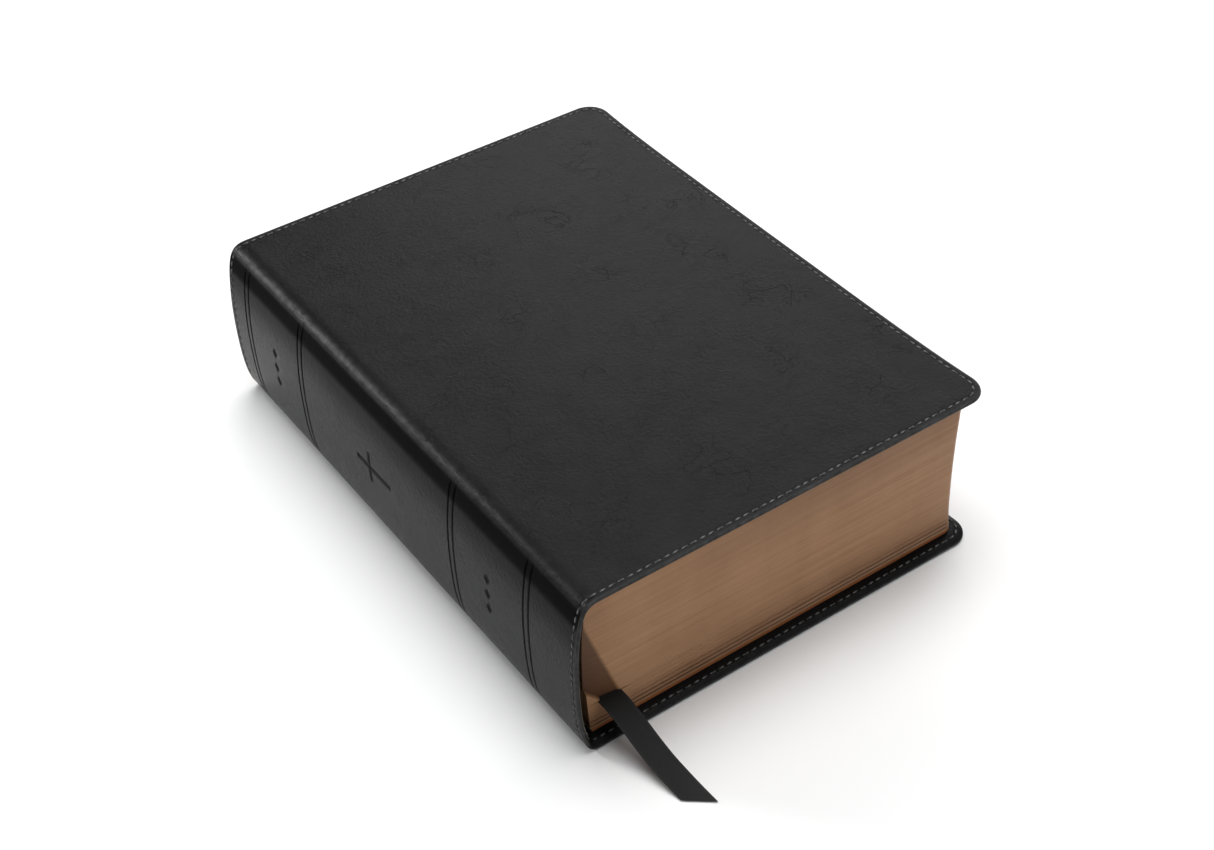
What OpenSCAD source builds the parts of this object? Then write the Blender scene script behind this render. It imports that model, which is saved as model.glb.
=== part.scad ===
// A thick soft-covered bible lying closed on its back cover.
// X runs from the spine (-X) to the fore-edge (+X), Y from the tail (-Y) to the head (+Y), Z up.
// The origin is on the table under the middle of the book. All sizes are in millimetres.

/* [Cover] */

// Cover from the crown of the spine to the fore-edge
cover_w = 177; // [140:1:200]
// Cover from tail to head
cover_l = 245; // [200:1:280]
// Whole book from the back cover to the front cover
book_t = 71; // [50:1:80]
// Rounding of the cover's fore-edge corners
corner_r = 10; // [4:1:16]
// Imitation leather sheet
leather_t = 1.2; // [0.8:0.1:1.6]
// Flexible board inside each cover
board_t = 1.0; // [0.6:0.1:1.4]
// Leather turned in over the board on the inside
turnin_t = 0.4; // [0.3:0.1:0.6]
// Width of the turned-in border
turnin_w = 14; // [10:1:20]
// Stitch line in from the cover's edge
stitch_in = 2.6; // [2.4:0.2:5]

/* [Spine] */

// How far the spine bows outward
spine_bow = 3; // [1:0.5:5]
// Distance of the four pairs of blind lines from the middle of the book
band_1 = 107; // [90:1:112]
// Second pair, towards the head
band_2 = 63.5; // [40:0.5:80]
// Third pair, towards the tail
band_3 = -45.5; // [-70:0.5:-30]
// Fourth pair, nearest the tail
band_4 = -93; // [-110:1:-80]
// Middle of the pressed cross's bar
cross_y = 12; // [0:1:25]

/* [Pages] */

// Page height
page_l = 234; // [190:1:265]
// Cover's overhang at the fore-edge
overhang = 5; // [3:0.5:7]
// Sections sewn below the ribbon
lower_count = 8; // [4:1:12]
// Sections in each of the five groups above the ribbon
group_count = 7; // [4:1:9]
// Rounding of the page corners
page_r = 3; // [1:0.5:6]

/* [Ribbon] */

// Ribbon marker's width
ribbon_w = 9.6; // [6:0.4:12]
// Ribbon marker's thickness
ribbon_t = 0.4; // [0.3:0.05:0.6]

/* [Hidden] */
$fn = 96;

x_fore = cover_w / 2;
x_crown = -cover_w / 2;
yh = cover_l / 2;
ph = page_l / 2;
cover_t = leather_t + board_t + turnin_t;

// Spine arc: crown at x_crown, meeting the covers at x_hinge.
x_hinge = x_crown + spine_bow;
spine_r = (book_t * book_t / 4 + spine_bow * spine_bow) / (2 * spine_bow);
spine_cx = x_crown + spine_r;
x_panel = x_hinge + leather_t + 0.3;

// Text block
z_low = cover_t + 0.9;
z_slit = 15.9;
z_up = 16.8;
z_top = book_t - cover_t - 0.9;
group_h = (z_top - z_up) / 5;
body_gap = 0.3;
leaf_gap = 0.05;
x_page = x_fore - overhang;
x_back = -81;
bow_back = 1.2;
bow_fore = 1.2;
sew_t = 0.35;
lining_t = 0.4;
sew_y = [-102, -55, 0, 55, 102];

// Half width of the bow at height z: 1 at mid height, 0 at the block's top and bottom.
function bow(z) = 1 - pow((z - book_t / 2) / (z_top - book_t / 2), 2);
function z_group(k) = z_up + (k - 1) * group_h;

module plan(x0, x1, h, r) {
  translate([x0, -h]) square([x1 - x0 - r, 2 * h]);
  translate([x1 - r - 0.5, -h + r]) square([r + 0.5, 2 * (h - r)]);
  translate([x1 - r, h - r]) circle(r);
  translate([x1 - r, -h + r]) circle(r);
}

module inset_plan(d) {
  plan(x_panel - 1, x_fore - d, yh - d, corner_r - d);
}

module rim(d, z0, z1) {
  translate([0, 0, z0]) linear_extrude(z1 - z0) difference() {
    plan(x_panel, x_fore, yh, corner_r);
    plan(x_panel - 1, x_fore - d, yh - d, max(corner_r - d, 1));
  }
}

module ring(d0, d1, z0, z1) {
  translate([0, 0, z0]) linear_extrude(z1 - z0) difference() {
    plan(x_panel, x_fore - d0, yh - d0, corner_r - d0);
    inset_plan(d1);
  }
}

// One cover's leather: outer sheet, edge and turned-in border, with a groove for the stitches.
module cover_leather() {
  difference() {
    union() {
      linear_extrude(leather_t) plan(x_panel, x_fore, yh, corner_r);
      rim(1.0, leather_t - 0.01, leather_t + board_t + 0.01);
      rim(turnin_w, leather_t + board_t, cover_t);
    }
    ring(stitch_in - 0.35, stitch_in + 0.35, -0.01, 0.3);
    ring(stitch_in - 0.35, stitch_in + 0.35, cover_t - 0.25, cover_t + 0.01);
  }
}

module cover_board() {
  translate([0, 0, leather_t]) linear_extrude(board_t) plan(x_panel + 6, x_fore - 1.1, yh - 1.1, corner_r - 1.1);
}

// Endpaper glued inside the cover, within the turned-in border.
module cover_pastedown() {
  h = yh - turnin_w - 0.1;
  translate([0, 0, leather_t + board_t]) linear_extrude(0.25)
    plan(x_panel + 6, x_fore - turnin_w - 0.1, h, 1);
}

// Lock-stitched thread: one run outside, one run inside.
module cover_stitching() {
  ring(stitch_in - 0.3, stitch_in + 0.3, 0.05, 0.3);
  ring(stitch_in - 0.3, stitch_in + 0.3, cover_t - 0.25, cover_t - 0.05);
}

module to_front() {
  translate([0, 0, book_t]) mirror([0, 0, 1]) children();
}

module flyleaf(z) {
  translate([0, 0, z]) linear_extrude(0.25) plan(x_back + 0.4, x_page - 0.4, ph, page_r);
}

module back_cover_leather() {
  color([0.10, 0.10, 0.10]) cover_leather();
}

module back_board() {
  color([0.45, 0.42, 0.38]) cover_board();
}

module back_pastedown() {
  color([0.12, 0.12, 0.12]) cover_pastedown();
}

module back_stitching() {
  color([0.25, 0.25, 0.25]) cover_stitching();
}

module back_flyleaf() {
  color([0.92, 0.89, 0.82]) flyleaf(cover_t + 0.3);
}

module front_cover_leather() {
  color([0.10, 0.10, 0.10]) to_front() cover_leather();
}

module front_board() {
  color([0.45, 0.42, 0.38]) to_front() cover_board();
}

module front_pastedown() {
  color([0.12, 0.12, 0.12]) to_front() cover_pastedown();
}

module front_stitching() {
  color([0.25, 0.25, 0.25]) to_front() cover_stitching();
}

module front_flyleaf() {
  color([0.92, 0.89, 0.82]) to_front() flyleaf(cover_t + 0.3);
}

// A strip of the bowed spine between two radii, two heights and two ends.
module spine_shell(r0, r1, z0, z1, y0, y1) {
  translate([0, y1, 0]) rotate([90, 0, 0]) linear_extrude(y1 - y0) intersection() {
    difference() {
      translate([spine_cx, book_t / 2]) circle(r1, $fn = 720);
      translate([spine_cx, book_t / 2]) circle(r0, $fn = 720);
    }
    translate([x_crown - 1, z0]) square([8, z1 - z0]);
  }
}

module band(y) {
  for (d = [-1.6, 1.6]) {
    spine_shell(spine_r - 0.3, spine_r + 0.5, -1, book_t + 1, y + d - 0.4, y + d + 0.4);
  }
}

// Plain cross pressed into the middle panel of the spine.
module spine_cross() {
  zc = book_t / 2;
  spine_shell(spine_r - 0.3, spine_r + 0.5, zc - 0.8, zc + 0.8, cross_y - 15, cross_y + 9);
  spine_shell(spine_r - 0.3, spine_r + 0.5, zc - 7, zc + 7, cross_y - 0.8, cross_y + 0.8);
}

module spine_leather() {
  color([0.10, 0.10, 0.10]) difference() {
    union() {
      spine_shell(spine_r - leather_t, spine_r, 0, book_t, -yh, yh);
      for (s = [-1, 1]) {
        spine_shell(spine_r - leather_t - board_t - turnin_t, spine_r - leather_t + 0.05, 4, book_t - 4,
          s > 0 ? yh - 1 : -yh, s > 0 ? yh : -yh + 1);
        spine_shell(spine_r - leather_t - board_t - turnin_t, spine_r - leather_t - board_t, 4, book_t - 4,
          s > 0 ? yh - turnin_w : -yh, s > 0 ? yh : -yh + turnin_w);
      }
    }
    for (y = [band_1, band_2, band_3, band_4]) {
      band(y);
    }
    spine_cross();
    for (s = [-1, 1]) {
      spine_shell(spine_r - 0.3, spine_r + 0.5, -1, book_t + 1,
        s * (yh - stitch_in) - 0.35, s * (yh - stitch_in) + 0.35);
    }
  }
}

module spine_stiffener() {
  color([0.45, 0.42, 0.38]) spine_shell(spine_r - leather_t - board_t, spine_r - leather_t,
    4, book_t - 4, -yh + 1.1, yh - 1.1);
}

module spine_liner() {
  color([0.12, 0.12, 0.12]) spine_shell(spine_r - leather_t - board_t - 0.25, spine_r - leather_t - board_t,
    4, book_t - 4, -yh + turnin_w + 0.1, yh - turnin_w - 0.1);
}

module spine_stitching() {
  color([0.25, 0.25, 0.25]) for (s = [-1, 1]) {
    spine_shell(spine_r - 0.3, spine_r - 0.05, 0.5, book_t - 0.5,
      s * (yh - stitch_in) - 0.3, s * (yh - stitch_in) + 0.3);
  }
}

// Folded and sewn sections, each one its own solid.
module sections(z0, z1, n) {
  p = (z1 - z0 + leaf_gap) / n;
  for (i = [0 : n - 1]) {
    zm = z0 + (i + 0.5) * p;
    translate([0, 0, z0 + i * p]) linear_extrude(p - leaf_gap)
      plan(x_back - bow_back * bow(zm), x_page - bow_fore * bow(zm), ph, page_r);
  }
}

// Sewing thread across the folds at five stations.
module sewing(z0, z1) {
  zm = (z0 + z1) / 2;
  xs = x_back - bow_back * min(bow(z0 + 0.8), bow(z1 - 0.8));
  xo = x_back - bow_back * max(bow(z0 + 0.8), bow(z1 - 0.8), bow(zm));
  for (y = sew_y) {
    translate([xo - sew_t, y - 0.5, z0 + 0.4]) cube([sew_t, 1, z1 - z0 - 0.8]);
  }
}

// Cloth lining glued over the sewn folds.
module lining(z0, z1) {
  zm = (z0 + z1) / 2;
  xo = x_back - bow_back * max(bow(z0 + 0.8), bow(z1 - 0.8), bow(zm));
  translate([xo - sew_t - lining_t, -ph + 4, z0 + 0.1]) cube([lining_t, page_l - 8, z1 - z0 - 0.2]);
}

module lower_sections() {
  color([0.60, 0.44, 0.30]) sections(z_low, z_slit, lower_count);
}

module lower_sewing() {
  color([0.90, 0.88, 0.82]) sewing(z_low, z_slit);
}

module lower_lining() {
  color([0.85, 0.83, 0.76]) lining(z_low, z_slit);
}

module group_sections(k) {
  color([0.60, 0.44, 0.30]) sections(z_group(k), z_group(k + 1) - body_gap, group_count);
}

module group_sewing(k) {
  color([0.90, 0.88, 0.82]) sewing(z_group(k), z_group(k + 1) - body_gap);
}

module group_lining(k) {
  color([0.85, 0.83, 0.76]) lining(z_group(k), z_group(k + 1) - body_gap);
}

module sections_1() { group_sections(1); }
module sections_2() { group_sections(2); }
module sections_3() { group_sections(3); }
module sections_4() { group_sections(4); }
module sections_5() { group_sections(5); }
module sewing_1() { group_sewing(1); }
module sewing_2() { group_sewing(2); }
module sewing_3() { group_sewing(3); }
module sewing_4() { group_sewing(4); }
module sewing_5() { group_sewing(5); }
module lining_1() { group_lining(1); }
module lining_2() { group_lining(2); }
module lining_3() { group_lining(3); }
module lining_4() { group_lining(4); }
module lining_5() { group_lining(5); }

// Ribbon route: point on the centre line, then the direction of its width.
inner_route = [
  [[-82.9, 96, 9.8], [0, 0, 1]],
  [[-82.9, 114, 9.8], [0, 0, 1]],
  [[-82.8, 117.5, 10], [0, 0, 1]],
  [[-82.2, 119.2, 10.8], [0.3, 0, 1]],
  [[-80.8, 119.8, 12.6], [0.9, 0, 0.8]],
  [[-79.2, 119.4, 14.6], [1, 0, 0.35]],
  [[-78.2, 118.2, 16], [1, 0, 0.05]],
  [[-77.8, 116.4, 16.2], [1, 0, 0]],
  [[-77.6, 108, 16.2], [1, 0, 0]],
  [[-76.4, 60, 16.2], [1, 0, 0]],
  [[-75.0, 0, 16.2], [1, 0, 0]],
  [[-73.8, -60, 16.2], [1, 0, 0]],
  [[-73.0, -105, 16.2], [1, 0, 0]],
  [[-72.8, -116.8, 16.2], [1, 0, 0]]
];
tail_route = [
  [[-72.8, -117.2, 16.2], [1, 0, 0]],
  [[-72.7, -119.5, 16.1], [1, 0, 0]],
  [[-72.5, -122, 15.6], [1, 0, 0]],
  [[-72.3, -124.8, 14.6], [1, 0, 0]],
  [[-72.0, -127.8, 13.2], [1, 0, 0]],
  [[-71.6, -131, 11.5], [1, 0, 0]],
  [[-71.1, -135, 9.2], [1, 0, 0]],
  [[-70.5, -139.5, 6.8], [1, 0, 0]],
  [[-69.9, -144, 4.8], [1, 0, 0]],
  [[-69.2, -148.8, 3.1], [1, 0, 0]],
  [[-68.6, -153.6, 1.8], [1, -0.3, 0]],
  [[-68.1, -157.6, 0.95], [1, -0.6, 0]],
  [[-67.8, -160.4, 0.5], [1, -0.8, 0]]
];

function unit(v) = v / norm(v);
function tangent(p, i) = unit(p[min(i + 1, len(p) - 1)][0] - p[max(i - 1, 0)][0]);
function side(p, i) = p[i][1] / norm([p[i][1][0], 0, p[i][1][2]]);
function face(p, i) = unit(cross(tangent(p, i), side(p, i)));
function corner(p, i, a, b, w, t) = p[i][0] + a * w / 2 * side(p, i) + b * t / 2 * face(p, i);

// Flat woven strip swept along a route.
module strip(p, w, t) {
  n = len(p);
  pts = [for (i = [0 : n - 1]) for (c = [[-1, -1], [1, -1], [1, 1], [-1, 1]]) corner(p, i, c[0], c[1], w, t)];
  walls = [for (i = [0 : n - 2]) for (j = [0 : 3])
    [4 * i + j, 4 * i + (j + 1) % 4, 4 * i + 4 + (j + 1) % 4, 4 * i + 4 + j]];
  quads = concat([[3, 2, 1, 0]], walls, [[4 * n - 4, 4 * n - 3, 4 * n - 2, 4 * n - 1]]);
  tris = [for (q = quads) each [[q[0], q[1], q[2]], [q[0], q[2], q[3]]]];
  polyhedron(points = pts, faces = tris);
}

module ribbon_inner() {
  color([0.08, 0.08, 0.09]) strip(inner_route, ribbon_w, ribbon_t);
}

module ribbon_tail() {
  color([0.08, 0.08, 0.09]) strip(tail_route, ribbon_w, ribbon_t);
}

back_cover_leather();
back_board();
back_pastedown();
back_stitching();
back_flyleaf();
front_cover_leather();
front_board();
front_pastedown();
front_stitching();
front_flyleaf();
spine_leather();
spine_stiffener();
spine_liner();
spine_stitching();
lower_sections();
lower_sewing();
lower_lining();
sections_1();
sewing_1();
lining_1();
sections_2();
sewing_2();
lining_2();
sections_3();
sewing_3();
lining_3();
sections_4();
sewing_4();
lining_4();
sections_5();
sewing_5();
lining_5();
ribbon_inner();
ribbon_tail();
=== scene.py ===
"""A thick soft-covered bible lying on its back cover, in metres, in the CAD frame.

The covers and spine are one skin of imitation leather, laid out flat as (s, y) and wrapped
round the spine's profile: s runs from the spine to the fore-edge, y from tail to head.
"""

import math

import bmesh
import bpy
import numpy as np
from mathutils import Matrix, Vector


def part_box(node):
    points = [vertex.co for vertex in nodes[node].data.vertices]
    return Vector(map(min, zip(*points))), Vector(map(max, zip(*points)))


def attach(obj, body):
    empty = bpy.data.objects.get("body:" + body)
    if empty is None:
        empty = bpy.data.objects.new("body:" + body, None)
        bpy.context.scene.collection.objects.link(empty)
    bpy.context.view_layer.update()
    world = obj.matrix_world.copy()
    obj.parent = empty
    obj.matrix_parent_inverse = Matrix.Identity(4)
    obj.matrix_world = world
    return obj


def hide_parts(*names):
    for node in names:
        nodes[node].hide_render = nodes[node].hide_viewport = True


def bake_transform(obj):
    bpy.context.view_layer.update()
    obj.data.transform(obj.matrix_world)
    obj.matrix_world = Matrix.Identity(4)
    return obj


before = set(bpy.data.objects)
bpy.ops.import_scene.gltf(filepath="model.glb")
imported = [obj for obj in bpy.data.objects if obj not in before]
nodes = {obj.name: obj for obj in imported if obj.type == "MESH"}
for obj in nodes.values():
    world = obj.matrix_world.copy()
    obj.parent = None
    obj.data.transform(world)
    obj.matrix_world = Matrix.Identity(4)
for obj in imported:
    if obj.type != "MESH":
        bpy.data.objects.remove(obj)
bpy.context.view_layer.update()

MM = 0.001
rng = np.random.default_rng(11)

# ---------------------------------------------------------------- sizes, in millimetres
COVER_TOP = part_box("front_cover_leather")[1]
COVER_HALF = COVER_TOP.y / MM  # tail or head edge from the middle
FORE = COVER_TOP.x / MM  # the cover's fore-edge
BOOK_T = COVER_TOP.z / MM
CORNER_R = 10.0  # the cover's fore-edge corners
FLARE = 2.2  # the fore-edge swings out towards its corners
SPARE = 4.0  # skin laid out past the fore-edge for the flare
COVER_T = 2.6
LEATHER_T = 1.2
TURNIN = 14.0  # width of the border turned in over the board
STITCH_IN = 2.6  # stitch line in from the edge
GROOVE_DEPTH, GROOVE_HALF = 0.15, 0.5
EDGE_R = 0.80  # the folded edge is thinner than the cover
PRESS_DEPTH = 0.34  # blind tooling on the spine
BANDS = (107.0, 63.5, -45.5, -93.0)  # pairs of blind lines, from head to tail
BAND_HALF = 1.6
CROSS_Y = 12.0
CROSS_Z = BOOK_T / 2
LOZENGE_Y = (85.0, -69.0)
LOZENGE_Z = (CROSS_Z - 7, CROSS_Z, CROSS_Z + 7)
SKIN_UV = 100.0  # millimetres of skin to one unit of UV
INSIDE_U = 7.0  # moves the inner face to its own part of the pattern

# ---------------------------------------------------------------- camera
CAM_POS = (-308.593, -475.855, 507.563)
CAM_RIGHT = (0.817364, -0.575357, -0.029674)
CAM_UP = (0.394946, 0.522081, 0.755942)
CAM_BACK = (-0.419444, -0.629600, 0.653965)

cam_data = bpy.data.cameras.new("camera")
cam_data.sensor_fit = "HORIZONTAL"
cam_data.sensor_width = 36.0
cam_data.lens = 56.97
cam_data.clip_start = 0.01
cam_data.clip_end = 20.0
camera = bpy.data.objects.new("camera", cam_data)
bpy.context.scene.collection.objects.link(camera)
rotation = Matrix((CAM_RIGHT, CAM_UP, CAM_BACK)).transposed()
camera.matrix_world = Matrix.Translation(Vector(CAM_POS) * MM) @ rotation.to_4x4()
bpy.context.scene.camera = camera


# ---------------------------------------------------------------- mesh helpers
def make(name, verts, faces, materials, uv=None, face_mat=None, marks=None, sharp=40.0):
    """A smooth-shaded mesh from points in millimetres. uv is per vertex, marks are float attributes."""
    me = bpy.data.meshes.new(name)
    me.from_pydata((np.asarray(verts, float) * MM).tolist(), [], faces)
    me.validate()
    for m in materials:
        me.materials.append(m)
    if face_mat is not None:
        me.polygons.foreach_set("material_index", np.asarray(face_mat, np.int32))
    if uv is not None:
        uv_layer = me.uv_layers.new(name="skin")
        loops = np.zeros(len(me.loops), np.int32)
        me.loops.foreach_get("vertex_index", loops)
        uv_layer.data.foreach_set("uv", np.asarray(uv, np.float32)[loops].ravel())
    for key, values in (marks or {}).items():
        a = me.attributes.new(key, "FLOAT", "POINT")
        a.data.foreach_set("value", np.asarray(values, np.float32))
    me.shade_smooth()
    me.set_sharp_from_angle(angle=math.radians(sharp))
    ob = bpy.data.objects.new(name, me)
    bpy.context.scene.collection.objects.link(ob)
    return ob


def tube_faces(a, b, m):
    """Quads between two closed rings of m points, which start at a and at b."""
    return [(a + j, a + (j + 1) % m, b + (j + 1) % m, b + j) for j in range(m)]


def fix_normals(ob):
    """Turn every face outwards."""
    bm = bmesh.new()
    bm.from_mesh(ob.data)
    bmesh.ops.recalc_face_normals(bm, faces=bm.faces)
    bm.to_mesh(ob.data)
    bm.free()


def step(a, b, x):
    """0 below a, 1 above b, smooth between them."""
    t = np.clip((np.asarray(x, float) - a) / (b - a), 0, 1)
    return t * t * (3 - 2 * t)


def hermite(p0, p1, m0, m1, h, u):
    """A point on the cubic from p0 to p1, with slopes m0 and m1 over a length h."""
    return (
        (2 * u**3 - 3 * u**2 + 1) * p0
        + (u**3 - 2 * u**2 + u) * h * m0
        + (-2 * u**3 + 3 * u**2) * p1
        + (u**3 - u**2) * h * m1
    )


def arc_length(p):
    """The length along a line of points, from the first to each one."""
    return np.r_[0, np.cumsum(np.linalg.norm(np.diff(p, axis=0), axis=1))]


def cubic(points, t0, t1, spacing, fine=60):
    """A smooth curve through 2-D points with given end directions, sampled evenly."""
    p = np.array(points, float)
    n = len(p)
    h = np.linalg.norm(np.diff(p, axis=0), axis=1)
    a = np.zeros((n, n))
    r = np.zeros((n, 2))
    a[0, 0] = a[-1, -1] = 1
    r[0], r[-1] = t0, t1
    for i in range(1, n - 1):
        a[i, i - 1], a[i, i], a[i, i + 1] = h[i], 2 * (h[i] + h[i - 1]), h[i - 1]
        r[i] = 3 * (h[i] * (p[i] - p[i - 1]) / h[i - 1] + h[i - 1] * (p[i + 1] - p[i]) / h[i])
    m = np.linalg.solve(a, r)
    out = []
    for i in range(n - 1):
        steps = np.linspace(0, 1, fine, endpoint=False)
        out += [hermite(p[i], p[i + 1], m[i], m[i + 1], h[i], u) for u in steps]
    out.append(p[-1])
    out = np.array(out)
    s = arc_length(out)
    even = np.linspace(0, s[-1], int(s[-1] / spacing) + 1)
    return np.stack([np.interp(even, s, out[:, k]) for k in (0, 1)], 1)


class Skin:
    """Wraps (s, y, depth) on to the outside of the book. Depth is measured inwards."""

    def __init__(self, points, side, beyond=0.0):
        self.p = np.array(points, float)
        self.s = arc_length(self.p)
        t = np.gradient(self.p, self.s, axis=0)
        t /= np.linalg.norm(t, axis=1)[:, None]
        self.n = np.stack([-t[:, 1], t[:, 0]], 1) * side
        self.length = self.s[-1] - beyond

    def xz(self, s):
        return [np.interp(s, self.s, self.p[:, k]) for k in (0, 1)]

    def at(self, s, y, depth):
        x, z = self.xz(s)
        nx = np.interp(s, self.s, self.n[:, 0])
        nz = np.interp(s, self.s, self.n[:, 1])
        return np.stack([x - nx * depth, np.broadcast_to(y, np.shape(x)), z - nz * depth], -1)

    def where(self, x=None, z=None, start=0):
        """The first s at which the outside reaches that x or z."""
        column, value = (0, x) if z is None else (1, z)
        d = self.p[:, column] - value
        for i in range(start, len(d) - 1):
            if d[i] == 0 or d[i] * d[i + 1] < 0:
                return self.s[i]
        raise ValueError("the skin doesn't reach there")


SHOULDER_X = -83.4  # where the spine's leather turns over on to the front cover
# The spine's outside from the back cover up to the front cover.
SPINE_PROFILE = [
    (-80.6, 0.0), (-82.4, 0.12), (-84.2, 1.05), (-85.5, 2.75), (-86.4, 4.9), (-87.3, 7.9),
    (-88.1, 12.2), (-88.85, 20.0), (-89.2, 31.0), (-89.1, 41.0), (-88.4, 51.5), (-87.4, 59.5),
    (-86.3, 64.7), (-85.0, 67.8), (-83.2, 69.8), (-80.9, 70.75), (-77.8, 71.0),
]
curve = cubic(SPINE_PROFILE, (-1, 0), (1, 0), 0.1)
SEAM_LOW = int(np.argmin(abs(curve[:, 1] - 1.3)))  # middle of the back corner
SEAM_HIGH = int(np.argmin(abs(curve[:, 1] - 3.8)))  # foot of the spine


def line_to(x, z, x_end, spacing=0.5):
    """Points along a level line, without its first."""
    n = int(abs(x_end - x) / spacing)
    return [(x + (x_end - x) * i / n, z) for i in range(1, n + 1)]


front_top = line_to(curve[-1][0], BOOK_T, FORE + SPARE)
back_under = line_to(curve[0][0], 0.0, FORE + SPARE)
front_skin = Skin(list(map(tuple, curve[SEAM_HIGH:])) + front_top, 1, SPARE)
back_skin = Skin(list(map(tuple, curve[: SEAM_LOW + 1][::-1])) + back_under, -1, SPARE)
corner_skin = Skin(curve[SEAM_LOW : SEAM_HIGH + 1], 1)


# ---------------------------------------------------------------- materials
class Nodes:
    """Shorthand for building a node material."""

    def __init__(self, name):
        self.mat = bpy.data.materials.new(name)
        self.mat.use_nodes = True
        self.tree = self.mat.node_tree
        self.shader = self.tree.nodes["Principled BSDF"]

    def add(self, kind, inputs=None, **settings):
        n = self.tree.nodes.new(kind)
        for k, v in settings.items():
            setattr(n, k, v)
        for k, v in (inputs or {}).items():
            self.put(n.inputs[k], v)
        return n

    def put(self, socket, value):
        if isinstance(value, bpy.types.NodeSocket):
            self.tree.links.new(value, socket)
        else:
            socket.default_value = value

    def math(self, op, a, b=0.5, c=0.5, clamp=False):
        n = self.add("ShaderNodeMath", operation=op, use_clamp=clamp)
        for i, v in enumerate((a, b, c)):
            self.put(n.inputs[i], v)
        return n.outputs[0]

    def plus(self, a, b):
        return self.math("ADD", a, b)

    def times(self, a, b):
        return self.math("MULTIPLY", a, b)

    def coord(self, space):
        return self.add("ShaderNodeTexCoord").outputs[space]

    def wave(self, vector, scale, distortion, direction, **more):
        values = {"Vector": vector, "Scale": scale, "Distortion": distortion, **more}
        return self.add("ShaderNodeTexWave", values, bands_direction=direction).outputs["Fac"]

    def mix(self, t, a, b):
        n = self.add("ShaderNodeMix", data_type="RGBA")
        self.put(n.inputs["Factor"], t)
        self.put(n.inputs["A"], a)
        self.put(n.inputs["B"], b)
        return n.outputs["Result"]

    def mapped(self, source, scale):
        n = self.add("ShaderNodeMapping", {"Vector": source})
        n.inputs["Scale"].default_value = scale
        return n.outputs[0]

    def noise(self, vector, scale, detail=3.0, rough=0.55, distortion=0.0):
        n = self.add(
            "ShaderNodeTexNoise",
            {"Vector": vector, "Scale": scale, "Detail": detail, "Roughness": rough, "Distortion": distortion},
        )
        return n.outputs["Fac"]

    def ramp(self, value, low, high, to_low=0.0, to_high=1.0):
        n = self.add(
            "ShaderNodeMapRange",
            {"Value": value, "From Min": low, "From Max": high, "To Min": to_low, "To Max": to_high},
            clamp=True,
        )
        return n.outputs[0]

    def attribute(self, name):
        return self.add("ShaderNodeAttribute", attribute_name=name).outputs["Fac"]

    def bump(self, height, distance, strength=1.0, under=None):
        n = self.add("ShaderNodeBump", {"Height": height, "Distance": distance, "Strength": strength})
        if under is not None:
            self.put(n.inputs["Normal"], under)
        return n.outputs[0]

    def finish(self, color, rough, normal=None, **fixed):
        self.put(self.shader.inputs["Base Color"], color)
        self.put(self.shader.inputs["Roughness"], rough)
        if normal is not None:
            self.put(self.shader.inputs["Normal"], normal)
        for k, v in fixed.items():
            self.shader.inputs[k.replace("_", " ")].default_value = v
        return self.mat


def grey(v, warm=0.0):
    return (v * (1 + warm), v, v * (1 - warm), 1)


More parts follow.
